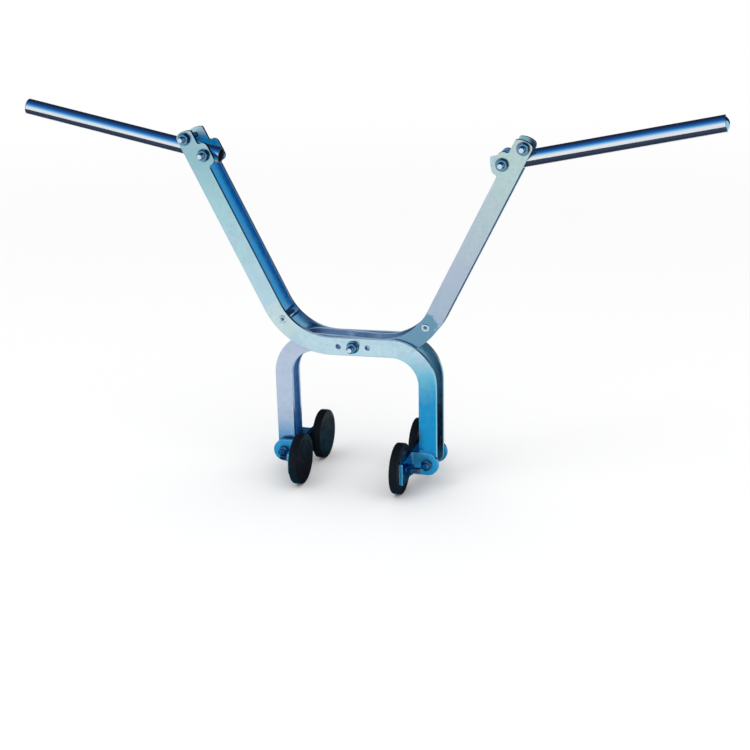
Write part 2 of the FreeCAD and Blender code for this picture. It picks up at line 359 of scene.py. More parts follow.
def disc_shell():
    """A rubber disc from its gripping face at zero: grip grooves, rounded rims, a mould line, a recess behind."""
    profile = [(disc_hub_radius, 0.0)]
    for radius in groove_radii:
        start, end = radius - groove_half, radius + groove_half
        profile += [(start, 0.0), (start + groove_flank, groove_flank_depth), (radius, groove_depth)]
        profile += [(end - groove_flank, groove_flank_depth), (end, 0.0)]
    profile += arc(disc_radius - disc_round, disc_round, disc_round, -90, 0, disc_round_steps)
    half_way = disc_thickness / 2
    profile += [(disc_radius, half_way - flash_foot), (disc_radius + flash_height, half_way - flash_half)]
    profile += [(disc_radius + flash_height, half_way + flash_half), (disc_radius, half_way + flash_foot)]
    profile += arc(disc_radius - disc_round, disc_thickness - disc_round, disc_round, 0, 90, disc_round_steps)
    recess_floor = disc_thickness - stud_plate_thickness
    profile += [(recess_radius, disc_thickness), (recess_radius, recess_floor), (disc_hub_radius, recess_floor)]
    return skin([circle(radius, height) for radius, height in profile])


def weld_shell(corner, x_side, y_side):
    """A rippled bead along z in the corner between the bar and the outer side of an ear."""
    rings = []
    for row in range(weld_rows + 1):
        height = weld_length * (row / weld_rows - 0.5)
        end_rise = (1 - weld_end_share) * min(row, weld_rows - row) / weld_end_rows
        taper = min(1.0, weld_end_share + end_rise)
        ring = [Vector((corner.x - x_side * weld_sink, corner.y - y_side * weld_sink, height))]
        for step in range(weld_steps + 1):
            share = step / weld_steps
            sweep = math.pi / 2 * share
            wave = math.sin(2 * math.pi * (height / ripple_length + ripple_bow * math.sin(math.pi * share)))
            crown = bead_share + bead_crown * math.sin(2 * sweep)
            bulge = weld_leg * taper * (1 + ripple_share * wave) * crown
            reach_x = bulge * max(0.0, math.cos(sweep)) ** bead_power
            reach_y = bulge * max(0.0, math.sin(sweep)) ** bead_power
            ring.append(Vector((corner.x + x_side * reach_x, corner.y + y_side * reach_y, height)))
        rings.append(ring)
    verts, faces = skin(rings)
    return [v * millimetre for v in verts], faces


rubber_pieces, weld_pieces = [], []
stud_pieces, stud_nut_pieces = [], []
for side, sign in (("right", 1.0), ("left", -1.0)):
    outward = Vector((sign, 0, 0))
    body = side + "_pad"
    stud_low, stud_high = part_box(side + "_pad_studs")
    stud_end = stud_high.x if sign > 0 else -stud_low.x
    nut_low, nut_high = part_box(side + "_pad_nuts")
    studs, nuts, washers = [], [], []
    for end in ("front", "rear"):
        disc = side + "_pad_" + end + "_disc"
        low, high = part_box(disc)
        centre = middle(disc)
        grip = Vector((low.x if sign > 0 else high.x, centre.y, centre.z))
        shell = turned(disc_shell(), grip, outward)
        rubber_pieces.append(add(disc + "_moulded", shell, body, "black_rubber", disc))
        base = grip + outward * (disc_thickness - stud_plate_thickness) * millimetre
        length = (stud_end - abs(base.x)) / millimetre
        studs.append(turned(stud_shell(length), base, outward))
        seat = Vector((nut_low.x if sign > 0 else nut_high.x, centre.y, centre.z))
        nuts.append(turned(nut_shell(), seat, outward, stud_nut_rolls[end]))
        washers.append(turned(washer_shell(), seat - outward * washer_thickness * millimetre, outward))
        corner = Vector((sign * bar_front, math.copysign(ear_outer, centre.y), 0))
        bead = weld_shell(corner, sign, math.copysign(1.0, centre.y))
        weld_pieces.append(add(side + "_pad_" + end + "_weld_bead", bead, body, "zinc_plate"))
    stud_pieces.append(
        add(side + "_pad_threaded_studs", joined(studs), body, "zinc_fastener", side + "_pad_studs"))
    stud_nut_pieces.append(
        add(side + "_pad_hex_nuts", joined(nuts), body, "zinc_fastener", side + "_pad_nuts"))
    stud_nut_pieces.append(
        add(side + "_pad_round_washers", joined(washers), body, "zinc_fastener", side + "_pad_washers"))

# Handles, in millimetres: a domed plug in the outer end of each tube.
handle_rise = math.radians(11.74)
handle_reach = 343.0
cap_radius = 13.45
cap_spigot_radius = 10.7
cap_spigot_length = 13.8
cap_spigot_taper = 0.9
cap_spigot_lead = 1.5
cap_flange = 2.0
cap_round = 0.6
cap_round_steps = 5
cap_dome_radius = 10.3
cap_dome_height = 4.5
cap_dome_end_degrees = 86
cap_dome_steps = 10


def cap_shell():
    """A plug: tapered spigot, rounded flange, low dome."""
    ball = (cap_dome_radius ** 2 + cap_dome_height ** 2) / (2 * cap_dome_height)
    ball_height = cap_flange + cap_dome_height - ball
    edge = math.degrees(math.acos(cap_dome_radius / ball))
    profile = [
        (cap_spigot_radius - cap_spigot_taper, -cap_spigot_length),
        (cap_spigot_radius, -cap_spigot_length + cap_spigot_lead),
        (cap_spigot_radius, 0.0),
        (cap_radius, 0.0),
    ]
    profile += arc(cap_radius - cap_round, cap_flange - cap_round, cap_round, 0, 90, cap_round_steps)
    profile += arc(0.0, ball_height, ball, edge, cap_dome_end_degrees, cap_dome_steps)
    return skin([circle(radius, height) for radius, height in profile])


cap_pieces = []
hinge_places = {joint["name"]: Vector(joint["pos_m"]) for joint in frame["joints"]}
for side, sign in (("left", -1.0), ("right", 1.0)):
    direction = Vector((sign * math.cos(handle_rise), 0, math.sin(handle_rise)))
    base = hinge_places[side + "_handle_fold"] + direction * handle_reach * millimetre
    shell = turned(cap_shell(), base, direction)
    cap_pieces.append(
        add(side + "_handle_domed_cap", shell, side + "_handle", "bright_cap", side + "_handle_cap"))


# Shader helpers. Object coordinates are the frame's own, in metres, and ride with each body.
def node(tree, kind, inputs=None, **settings):
    """A shader node with its settings, and its inputs given as numbers or linked sockets."""
    made = tree.nodes.new("ShaderNode" + kind)
    for key, value in settings.items():
        setattr(made, key, value)
    for key, value in (inputs or {}).items():
        if isinstance(value, bpy.types.NodeSocket):
            tree.links.new(value, made.inputs[key])
        else:
            made.inputs[key].default_value = value
    return made


def finish(name, metallic):
    """A new material: its tree, shader and object coordinates."""
    made = bpy.data.materials.new(name)
    made.use_nodes = True
    tree = made.node_tree
    shader = tree.nodes["Principled BSDF"]
    shader.inputs["Metallic"].default_value = metallic
    return made, tree, shader, node(tree, "TexCoord").outputs["Object"]


def noise(tree, vector, scale, detail, roughness=0.55, distortion=0.0):
    """Noise from 0 to 1."""
    made = node(tree, "TexNoise", {
        "Vector": vector, "Scale": scale, "Detail": detail, "Roughness": roughness, "Distortion": distortion,
    })
    return made.outputs["Fac"]


def ramp(tree, value, stops):
    """A colour ramp from (place, colour) stops."""
    made = node(tree, "ValToRGB", {"Fac": value})
    band = made.color_ramp.elements
    while len(band) < len(stops):
        band.new(0.5)
    for element, (place, colour) in zip(band, stops):
        element.position = place
        element.color = (*colour, 1.0)
    return made.outputs["Color"]


def spread(tree, value, low, high, new_low, new_high):
    """A value mapped smoothly from one range to another."""
    made = node(tree, "MapRange", {
        "Value": value, "From Min": low, "From Max": high, "To Min": new_low, "To Max": new_high,
    }, interpolation_type="SMOOTHSTEP")
    return made.outputs["Result"]


def mixed(tree, share, one, two):
    """Colour one with a share of colour two over it."""
    made = node(tree, "Mix", data_type="RGBA")
    for socket, value in zip((made.inputs[0], made.inputs[6], made.inputs[7]), (share, one, two)):
        if isinstance(value, bpy.types.NodeSocket):
            tree.links.new(value, socket)
        else:
            socket.default_value = (*value, 1.0)
    return made.outputs[2]


def maths(tree, operation, one, two=0.0):
    return node(tree, "Math", {0: one, 1: two}, operation=operation).outputs[0]


def plus(tree, one, two):
    return maths(tree, "ADD", one, two)


def times(tree, one, two):
    return maths(tree, "MULTIPLY", one, two)


def without(tree, share):
    """What a share leaves of 1."""
    return maths(tree, "SUBTRACT", 1.0, share)


def axis_values(tree, vector):
    return node(tree, "SeparateXYZ", {"Vector": vector}).outputs


def facing_values(tree):
    """The axis values of the surface's direction, which ride with each body."""
    return axis_values(tree, node(tree, "TexCoord").outputs["Normal"])


def bumped(tree, shader, height, strength, distance):
    made = node(tree, "Bump", {"Height": height, "Strength": strength, "Distance": distance})
    tree.links.new(made.outputs["Normal"], shader.inputs["Normal"])


def near_edges(tree, width, share):
    """A share near sharp or rounded edges, 0 on flats."""
    soft = node(tree, "Bevel", {"Radius": width}, samples=6).outputs["Normal"]
    plain = node(tree, "NewGeometry").outputs["Normal"]
    same = node(tree, "VectorMath", {0: soft, 1: plain}, operation="DOT_PRODUCT").outputs["Value"]
    return times(tree, spread(tree, same, 0.995, 0.90, 0.0, 1.0), share)


def reach_from(tree, first, second, first_middle, second_middle):
    """Distance from an axis, by the two coordinates across it."""
    offset = node(tree, "CombineXYZ", {
        "X": maths(tree, "SUBTRACT", first, first_middle), "Y": maths(tree, "SUBTRACT", second, second_middle),
    }).outputs[0]
    return node(tree, "VectorMath", {0: offset}, operation="LENGTH").outputs["Value"]


# Places where a finish changes, in metres: where the change starts and where it ends.
crossing_sides = (0.06, 0.09)
crossing_top = (0.218, 0.235)
top_light_reach = (0.216, 0.232)
head_rim_shade = (0.49, 0.51)
head_dull = (0.508, 0.525)
head_shade_rise = (0.530, 0.540)
seat_shadow_reach = (0.0100, 0.0124)
tube_bore = (0.0112, 0.0120)
tube_tail_highlight_start = (0.20, 0.21)
tube_tail_highlight_end = (0.238, 0.248)
spacer_bore = (0.0041, 0.0044)
spacer_place = middle("arm_a_spacer_tube")
floor_fade = (0.9, 4.5)

# Amounts in the finishes, in metres where they are lengths.
noise_range = (0.3, 0.7)
tint_wander = 0.08
inner_wander_share = 0.1
patch_wander = 0.045
patch_core_share = 0.85
seat_shadow_share = 0.75
crossing_dull = 0.35
plate_wear_and_highlight, fastener_wear, rubber_wear = (0.0015, 0.7), (0.0005, 0.55), (0.0012, 0.4)  # width, share
tube_line_along, tube_line_across = 5.0, 420.0
turning_marks = (60.0, 2600.0, 60.0)

# Colours of the finishes.
# Among these, painted light and shade: lighter plate edges (partly wear), rings at the nuts' seats, rims at the
# head, the inner face past the stop, top edges at the crossing, the tube's ends, bore and inner end, and the
# spacer's bore.
plate_tint = (0.55, 0.65, 0.80)
plate_mottle = (0.30, 0.42, 0.50)
plate_edge_wear_and_highlight = (0.82, 0.88, 0.90)
seat_painted_shadow = (0.02, 0.07, 0.13)
rim_painted_shade = (0.008, 0.035, 0.09)
stop_painted_shade = (0.005, 0.045, 0.12)
top_edge_light = (0.32, 0.48, 0.64)
tube_low, tube_high, tube_cloud = (0.68, 0.72, 0.76), (0.78, 0.81, 0.84), (0.62, 0.70, 0.78)
tube_tail_highlight, tube_end_shade = (0.50, 0.70, 0.78), (0.010, 0.016, 0.030)
fastener_edge, fastener_tint = (0.74, 0.80, 0.84), (0.45, 0.53, 0.63)
spacer_low, spacer_high, spacer_bore_light = (0.44, 0.60, 0.70), (0.60, 0.74, 0.82), (0.78, 0.90, 0.95)
rubber_black, rubber_scuff, rubber_edge = (0.004, 0.005, 0.008), (0.014, 0.016, 0.020), (0.022, 0.024, 0.028)
floor_pale = (0.93, 0.93, 0.93)
white = (1, 1, 1)


def plate_finish(name, tint_and_sky_reflection, cloud, arm=None, inner_side=0.0, dull_sides=0.0):
    """Zinc on steel plate: a colour by height and in clouds, partly plating tint and partly painted sky
    reflection, mottling, and worn edges that are partly painted highlight.

    arm adds a ragged patch of another colour round the spacer tube, painted shade and blue painted reflection on
    the face that inner_side points to, painted contact shadow in rings at the seats of nuts, painted shade on the
    rims at the head and painted light on the top edges at the crossing. Without it dull_sides is the share of
    their mirror that faces across y lose.
    """
    made, tree, shader, place = finish(name, 1.0)
    shader.inputs["Specular IOR Level"].default_value = 0.15
    shader.inputs["Specular Tint"].default_value = (*plate_tint, 1.0)
    x, _, z = axis_values(tree, place)
    facing = facing_values(tree)
    facing_ends = maths(tree, "ABSOLUTE", facing[1])
    clouds = noise(tree, place, scale=16.0, detail=4.0, roughness=0.6, distortion=0.5)
    mottle = noise(tree, place, scale=130.0, detail=5.0, roughness=0.62)
    specks = noise(tree, place, scale=900.0, detail=2.0, roughness=0.6)
    wander = times(tree, maths(tree, "SUBTRACT", clouds, 0.5), tint_wander)
    # Colour by height and in clouds: partly plating tint, partly painted sky reflection.
    colour = ramp(tree, plus(tree, z, wander), tint_and_sky_reflection)
    colour = mixed(tree, spread(tree, clouds, 0.50, 0.72, 0.0, 0.55), colour, cloud)
    if arm:
        # A ragged patch round the spacer tube: pale green on arm A, and dark on arm B, where it reaches down
        # towards the crossing and paints the shade beside arm A's front plate.
        patch_x, patch_z, patch_radius = arm["spacer_patch"]
        blots = maths(tree, "SUBTRACT", noise(tree, place, scale=75.0, detail=4.0, roughness=0.6), 0.5)
        ragged = plus(tree, reach_from(tree, x, z, patch_x, patch_z), times(tree, blots, patch_wander))
        patched = spread(tree, ragged, patch_radius, patch_core_share * patch_radius, 0.0, arm["spacer_patch_share"])
        colour = mixed(tree, patched, colour, arm["spacer_patch_colour"])

        # Inner faces: painted shade and blue painted reflection between the plates, paler near the head tips.
        inside = spread(tree, facing[1], 0.5 * inner_side, 0.9 * inner_side, 0.0, 1.0)
        height = plus(tree, z, times(tree, wander, inner_wander_share))
        inner_shade_colour = ramp(tree, height, arm["inner_painted_shade"])
        # Painted shade on the inner face past the stop nut, near the head.
        if arm["shade_behind_stop"]:
            behind = spread(tree, x, *arm["shade_behind_stop"], 0.0, 0.9)
            behind = times(tree, behind, spread(tree, z, *head_shade_rise, 0.0, 1.0))
            inner_shade_colour = mixed(tree, behind, inner_shade_colour, stop_painted_shade)
        colour = mixed(tree, inside, colour, inner_shade_colour)
        crossing = spread(tree, maths(tree, "ABSOLUTE", x), *crossing_sides, 1.0, 0.0)
        crossing = times(tree, crossing, spread(tree, z, *crossing_top, 1.0, 0.0))
        dull = plus(tree, spread(tree, height, *head_dull, 0.0, 0.7), times(tree, crossing, crossing_dull))
        dull = times(tree, inside, dull)
    else:
        dull = spread(tree, facing_ends, 0.5, 0.9, 0.0, dull_sides)
    colour = mixed(tree, spread(tree, mottle, 0.40, 0.75, 0.0, 0.16), colour, plate_mottle)
    # Lighter edges: partly wear, partly painted highlight.
    colour = mixed(tree, near_edges(tree, *plate_wear_and_highlight), colour, plate_edge_wear_and_highlight)
    if arm:
        outside = without(tree, inside)
        # Painted contact shadow: dark rings round the seats of the nuts, on the outer faces.
        for seat in arm["seats"]:
            ring = spread(tree, reach_from(tree, x, z, seat.x, seat.z), *seat_shadow_reach, seat_shadow_share, 0.0)
            colour = mixed(tree, times(tree, ring, outside), colour, seat_painted_shadow)
        # Painted shade on the side faces of the plates at the head.
        shaded_rim = spread(tree, facing_ends, 0.75, 0.45, 0.0, 0.85)
        colour = mixed(tree, times(tree, shaded_rim, spread(tree, z, *head_rim_shade, 0.0, 1.0)), colour, rim_painted_shade)
        # Painted light on the up-facing edges at the crossing, which also lose their mirror.
        lit_top_edges = spread(tree, facing[2], 0.75, 0.97, 0.0, 0.75)
        lit_top_edges = times(tree, lit_top_edges, spread(tree, z, *top_light_reach, 1.0, 0.0))
        colour = mixed(tree, lit_top_edges, colour, top_edge_light)
        dull = maths(tree, "MAXIMUM", dull, lit_top_edges)
    tree.links.new(colour, shader.inputs["Base Color"])
    tree.links.new(without(tree, dull), shader.inputs["Metallic"])
    rough = spread(tree, mottle, *noise_range, 0.15, 0.25)
    rough = plus(tree, rough, spread(tree, specks, *noise_range, -0.02, 0.03))
    tree.links.new(rough, shader.inputs["Roughness"])
    grain = plus(tree, times(tree, specks, 0.3), times(tree, mottle, 0.5))
    bumped(tree, shader, grain, strength=0.07, distance=0.0003)
    return made


def tube_finish():
    """Polished zinc on drawn tube: fine lines along it, clouds, painted shade on the sawn ends and in the bore, a
    painted highlight on the right tube's inner end.
    """
    made, tree, shader, place = finish("polished_tube", 1.0)
    shader.inputs["Specular IOR Level"].default_value = 0.1
    x, y, z = axis_values(tree, place)
    outward = maths(tree, "ABSOLUTE", x)
    cosine, sine = math.cos(handle_rise), math.sin(handle_rise)
    along = plus(tree, times(tree, outward, cosine), times(tree, z, sine))
    across = maths(tree, "SUBTRACT", times(tree, z, cosine), times(tree, outward, sine))
    stretched = node(tree, "CombineXYZ", {
        "X": times(tree, along, tube_line_along),
        "Y": times(tree, y, tube_line_across),
        "Z": times(tree, across, tube_line_across),
    }).outputs[0]
    lines = noise(tree, stretched, scale=1.0, detail=4.0, roughness=0.6)
    clouds = noise(tree, place, scale=22.0, detail=4.0, roughness=0.6, distortion=0.3)
    colour = mixed(tree, spread(tree, lines, *noise_range, 0.0, 1.0), tube_low, tube_high)
    colour = mixed(tree, spread(tree, clouds, 0.45, 0.75, 0.0, 0.4), colour, tube_cloud)
    # The sawn ends and the bore are painted near-black as shade.
    sawn = spread(tree, maths(tree, "ABSOLUTE", facing_values(tree)[0]), 0.6, 0.9, 0.0, 1.0)
    hinge = hinge_places["right_handle_fold"]
    radius = reach_from(tree, y, across, 0.0, hinge.z * cosine - hinge.x * sine)
    dark = maths(tree, "MAXIMUM", sawn, spread(tree, radius, *tube_bore, 1.0, 0.0))
    # A painted highlight on the right tube's inner end inside the head, pale and without mirror.
    tail_highlight = spread(tree, x, *tube_tail_highlight_end, 0.8, 0.0)
    tail_highlight = times(tree, tail_highlight, spread(tree, x, *tube_tail_highlight_start, 0.0, 1.0))
    colour = mixed(tree, tail_highlight, colour, tube_tail_highlight)
    colour = mixed(tree, dark, colour, tube_end_shade)
    tree.links.new(colour, shader.inputs["Base Color"])
    dull = maths(tree, "MAXIMUM", dark, tail_highlight)
    tree.links.new(without(tree, dull), shader.inputs["Metallic"])
    rough = plus(tree, spread(tree, lines, 0.25, 0.75, 0.08, 0.15), spread(tree, clouds, 0.4, 0.8, 0.0, 0.05))
    tree.links.new(plus(tree, rough, times(tree, dull, 0.3)), shader.inputs["Roughness"])
    bumped(tree, shader, lines, strength=0.08, distance=0.0002)
    return made


def fastener_finish(name, dark, light, low_rough, high_rough, axis=None, face=None, face_share=0.0):
    """Zinc on machined steel: small mottling, fine turning marks and brighter edges.

    With an axis (0 for x, 1 for y) the faces across it get a colour of their own, painted lighter as lit faces or
    darker as shaded ones, and the mirror is tinted dark.
    """
    made, tree, shader, place = finish(name, 1.0)
    mottle = noise(tree, place, scale=340.0, detail=4.0, roughness=0.6)
    drawn = node(tree, "Mapping", {"Vector": place, "Scale": turning_marks}).outputs[0]
    marks = noise(tree, drawn, scale=1.0, detail=2.0)
    colour = mixed(tree, spread(tree, mottle, *noise_range, 0.0, 1.0), dark, light)
    if axis is not None:
        shader.inputs["Specular Tint"].default_value = (*fastener_tint, 1.0)
        facing = maths(tree, "ABSOLUTE", facing_values(tree)[axis])
        colour = mixed(tree, spread(tree, facing, 0.85, 0.97, 0.0, face_share), colour, face)
    colour = mixed(tree, near_edges(tree, *fastener_wear), colour, fastener_edge)
    tree.links.new(colour, shader.inputs["Base Color"])
    rough = spread(tree, mottle, *noise_range, low_rough, high_rough)
    rough = plus(tree, rough, spread(tree, marks, *noise_range, -0.02, 0.03))
    tree.links.new(rough, shader.inputs["Roughness"])
    bumped(tree, shader, marks, strength=0.06, distance=0.0001)
    return made


def spacer_finish():
    """Zinc on turned tube, with its bore painted pale and dull as painted light."""
    made, tree, shader, place = finish("zinc_spacer", 1.0)
    x, _, z = axis_values(tree, place)
    mottle = noise(tree, place, scale=340.0, detail=4.0, roughness=0.6)
    radius = reach_from(tree, maths(tree, "ABSOLUTE", x), z, abs(spacer_place.x), spacer_place.z)
    # Painted light in the bore.
    bore = spread(tree, radius, *spacer_bore, 0.9, 0.0)
    colour = mixed(tree, spread(tree, mottle, *noise_range, 0.0, 1.0), spacer_low, spacer_high)
    colour = mixed(tree, bore, colour, spacer_bore_light)
    tree.links.new(colour, shader.inputs["Base Color"])
    tree.links.new(without(tree, bore), shader.inputs["Metallic"])
    tree.links.new(spread(tree, mottle, *noise_range, 0.16, 0.30), shader.inputs["Roughness"])
    bumped(tree, shader, mottle, strength=0.05, distance=0.0002)
    return made


def rubber_finish():
    """Moulded black rubber: fine grain, dull scuffs and a little dust."""
    made, tree, shader, place = finish("moulded_rubber", 0.0)
    shader.inputs["Specular IOR Level"].default_value = 0.15
    grain = noise(tree, place, scale=1500.0, detail=2.0, roughness=0.5)
    scuffs = noise(tree, place, scale=70.0, detail=5.0, roughness=0.65, distortion=0.6)
    colour = mixed(tree, spread(tree, scuffs, 0.5, 0.8, 0.0, 0.6), rubber_black, rubber_scuff)
    colour = mixed(tree, near_edges(tree, *rubber_wear), colour, rubber_edge)
    tree.links.new(colour, shader.inputs["Base Color"])
    tree.links.new(spread(tree, scuffs, 0.35, 0.75, 0.48, 0.76), shader.inputs["Roughness"])
    bumped(tree, shader, plus(tree, grain, times(tree, scuffs, 2.0)), strength=0.25, distance=0.0003)
    return made


def floor_finish():
    """A pale matt floor with shadows, which goes over into the white of the sky away from the object."""
    made, tree, shader, place = finish("pale_floor", 0.0)
    shader.inputs["Base Color"].default_value = (*floor_pale, 1)
    shader.inputs["Roughness"].default_value = 0.9
    shader.inputs["Specular IOR Level"].default_value = 0.1
    distance = node(tree, "VectorMath", {0: place}, operation="LENGTH").outputs["Value"]
    rays = node(tree, "LightPath").outputs
    seen = rays["Is Camera Ray"]
    for other in ("Is Glossy Ray", "Is Transmission Ray"):
        seen = maths(tree, "MAXIMUM", seen, rays[other])
    far = times(tree, seen, spread(tree, distance, *floor_fade, 0.0, 1.0))
    glow = node(tree, "Emission", {"Color": (*white, 1), "Strength": 1.0}).outputs[0]
    faded = node(tree, "MixShader", {0: far, 1: shader.outputs[0], 2: glow}).outputs[0]
    tree.links.new(faded, tree.nodes["Material Output"].inputs["Surface"])
    return made


def wear(obj, made):
    """Gives an object one material."""
    obj.data.materials.clear()
    obj.data.materials.append(made)


# Finishes of the plates: colours by height, partly plating tint and partly painted sky reflection, and for the
# arms painted shade on the inner faces, a patch (x, z, radius) round the spacer, the nuts' seats, and where
# painted shade darkens the inner face further past a stop nut.
tint_and_sky_reflection_a = [
    (0.11, (0.20, 0.60, 0.76)), (0.15, (0.32, 0.68, 0.76)), (0.19, (0.50, 0.68, 0.76)),
    (0.28, (0.44, 0.63, 0.72)), (0.42, (0.38, 0.61, 0.67)), (0.53, (0.27, 0.50, 0.55)),
]
tint_and_sky_reflection_b = [
    (0.18, (0.46, 0.55, 0.69)), (0.26, (0.36, 0.46, 0.58)), (0.35, (0.42, 0.50, 0.60)),
    (0.50, (0.47, 0.62, 0.62)),
]
# The bracket's azure is partly plating tint and partly painted sky reflection.
tint_and_sky_reflection_bracket = [(0.0, (0.03, 0.42, 0.70)), (0.02, (0.06, 0.46, 0.72))]
cloud_a, cloud_b, cloud_bracket = (0.40, 0.55, 0.66), (0.44, 0.50, 0.64), (0.04, 0.38, 0.66)
seats_a = [middle(stem + "_nut") for stem in ("left_stop", "left_hinge", "main_pivot")]
seats_b = [middle(stem + "_nut") for stem in ("right_stop", "right_hinge")]
arm_a = {
    "inner_painted_shade": [
        (0.19, (0.19, 0.34, 0.44)), (0.27, (0.03, 0.25, 0.53)), (0.505, (0.02, 0.25, 0.54)),
        (0.525, (0.0, 0.34, 0.70)), (0.541, (0.0, 0.32, 0.68)), (0.551, (0.46, 0.68, 0.74)),
    ],
    "shade_behind_stop": None,
    "spacer_patch": (spacer_place.x, spacer_place.z, 0.033),
    "spacer_patch_colour": (0.58, 0.70, 0.66),
    "spacer_patch_share": 0.5,
    "seats": seats_a,
}
arm_b = {
    "inner_painted_shade": [
        (0.22, (0.30, 0.46, 0.66)), (0.25, (0.30, 0.40, 0.50)), (0.32, (0.16, 0.34, 0.54)),
        (0.538, (0.10, 0.32, 0.56)), (0.549, (0.36, 0.60, 0.70)),
    ],
    "shade_behind_stop": (seats_b[0].x + 0.001, seats_b[0].x + 0.007),
    "spacer_patch": (-spacer_place.x - 0.012, spacer_place.z - 0.016, 0.047),
    "spacer_patch_colour": (0.12, 0.28, 0.40),
    "spacer_patch_share": 0.9,
    "seats": seats_b,
}
finishes = {
    "arm_a_front_plate": plate_finish("zinc_a_front", tint_and_sky_reflection_a, cloud_a, arm_a, inner_side=1.0),
    "arm_a_rear_plate": plate_finish("zinc_a_rear", tint_and_sky_reflection_a, cloud_a, arm_a, inner_side=-1.0),
    "arm_b_front_plate": plate_finish("zinc_b_front", tint_and_sky_reflection_b, cloud_b, arm_b, inner_side=1.0),
    "arm_b_rear_plate": plate_finish("zinc_b_rear", tint_and_sky_reflection_b, cloud_b, arm_b, inner_side=-1.0),
}

# Other finishes. Fasteners: a dark and a light colour, a low and a high roughness, then axis, face and its share.
# The dark navy of the bolts and nuts is painted shade, a dark reflection that plain zinc does not give. Their
# faces across the axis are painted lighter as lit faces, with the bolts' ends as painted highlights; on the pads
# they are painted darker as shade.
bolt_looks = ((0.03, 0.09, 0.17), (0.08, 0.18, 0.30), 0.14, 0.24)
nut_looks = ((0.015, 0.07, 0.15), (0.05, 0.14, 0.26), 0.12, 0.20)
bolt_end_highlight, pad_bolt_end_shade, bolt_face_share = (0.62, 0.76, 0.84), (0.06, 0.15, 0.27), 0.9
nut_face_light, pad_nut_face_shade, nut_face_share = (0.16, 0.40, 0.56), (0.04, 0.13, 0.25), 0.6
along_x, along_y = 0, 1
bolt_made = fastener_finish("zinc_bolt", *bolt_looks, along_y, bolt_end_highlight, bolt_face_share)
stud_made = fastener_finish("zinc_stud", *bolt_looks, along_x, bolt_end_highlight, bolt_face_share)
pad_bolt_made = fastener_finish("zinc_pad_bolt", *bolt_looks, along_y, pad_bolt_end_shade, bolt_face_share)
nut_made = fastener_finish("zinc_nut", *nut_looks, along_y, nut_face_light, nut_face_share)
stud_nut_made = fastener_finish("zinc_stud_nut", *nut_looks, along_x, nut_face_light, nut_face_share)
pad_nut_made = fastener_finish("zinc_pad_nut", *nut_looks, along_y, pad_nut_face_shade, nut_face_share)
# The blue of the cap and of the weld beads is partly painted sky reflection.
cap_made = fastener_finish("bright_cap", (0.20, 0.42, 0.60), (0.38, 0.60, 0.76), 0.08, 0.14)
turned_made = fastener_finish("zinc_turned", (0.26, 0.38, 0.50), (0.40, 0.51, 0.60), 0.20, 0.30)
weld_made = fastener_finish("zinc_weld", (0.08, 0.30, 0.48), (0.18, 0.44, 0.62), 0.26, 0.40)
rubber_made = rubber_finish()
node_endings = {
    "_bracket": plate_finish("zinc_bracket", tint_and_sky_reflection_bracket, cloud_bracket, dull_sides=0.45),
    "_handle_tube": tube_finish(),
    "_cap": cap_made,
    "_disc": rubber_made,
    "_spacer_tube": spacer_finish(),
}
for name, obj in nodes.items():
    made = finishes.get(name, turned_made)
    for ending, other in node_endings.items():
        if name.endswith(ending):
            made = other
    wear(obj, made)
looks = [
    (bolt_pieces, bolt_made), (nut_pieces, nut_made), (rubber_pieces, rubber_made),
    (stud_pieces, stud_made), (stud_nut_pieces, stud_nut_made),
    (pad_bolt_pieces, pad_bolt_made), (pad_nut_pieces, pad_nut_made),
    (weld_pieces, weld_made), (cap_pieces, cap_made),
]
for pieces, made in looks:
    for piece in pieces:
        wear(piece, made)

# Studio: a pale floor under an even white sky, soft lamps, and cards that only mirror-like surfaces see.
scene = bpy.context.scene
scene.view_settings.view_transform = "Standard"
floor_gap = 0.0005
floor_height = cad_low.z - floor_gap
floor_half = 40.0
floor_corners = ((-1, -1), (1, -1), (1, 1), (-1, 1))
floor_points = [(x * floor_half, y * floor_half, floor_height) for x, y in floor_corners]
floor = link("floor", floor_points, [(0, 1, 2, 3)])
wear(floor, floor_finish())

world = bpy.data.worlds.new("studio")
scene.world = world
world.use_nodes = True
world.node_tree.nodes["Background"].inputs["Color"].default_value = (*white, 1)
world.node_tree.nodes["Background"].inputs["Strength"].default_value = 1.0


def card(name, points, columns_in_row, colours, receivers=None):
    """A sheet of points in rows, seen only in mirror-like surfaces, with its glow and cover at each point.

    A sheet with receivers hides nothing, and only they mirror its glow.
    """
    faces = []
    for row in range(len(points) // columns_in_row - 1):
        for column in range(columns_in_row - 1):
            first = row * columns_in_row + column
            faces.append((first, first + 1, first + columns_in_row + 1, first + columns_in_row))
    obj = link(name, points, faces)
    layer = obj.data.color_attributes.new("glow", "FLOAT_COLOR", "POINT")
    layer.data.foreach_set("color", [value for colour in colours for value in colour])
    made = bpy.data.materials.new(name)
    made.use_nodes = True
    tree = made.node_tree
    tree.nodes.clear()
    glow = node(tree, "Attribute", attribute_name="glow")
    light = node(tree, "Emission", {"Color": glow.outputs["Color"], "Strength": 1.0})
    clear = node(tree, "BsdfTransparent")
    if receivers:
        cover = node(tree, "AddShader", {0: clear.outputs[0], 1: light.outputs[0]})
        obj.light_linking.receiver_collection = receivers
    else:
        cover = node(tree, "MixShader", {0: glow.outputs["Alpha"], 1: clear.outputs[0], 2: light.outputs[0]})
    tree.links.new(cover.outputs[0], node(tree, "OutputMaterial").inputs["Surface"])
    wear(obj, made)
    obj.visible_camera = False
    obj.visible_diffuse = False
    obj.visible_shadow = False
    obj.visible_transmission = False


def between(one, two, share):
    """A colour between two, at a share of the way."""
    return [a * (1 - share) + b * share for a, b in zip(one, two)]


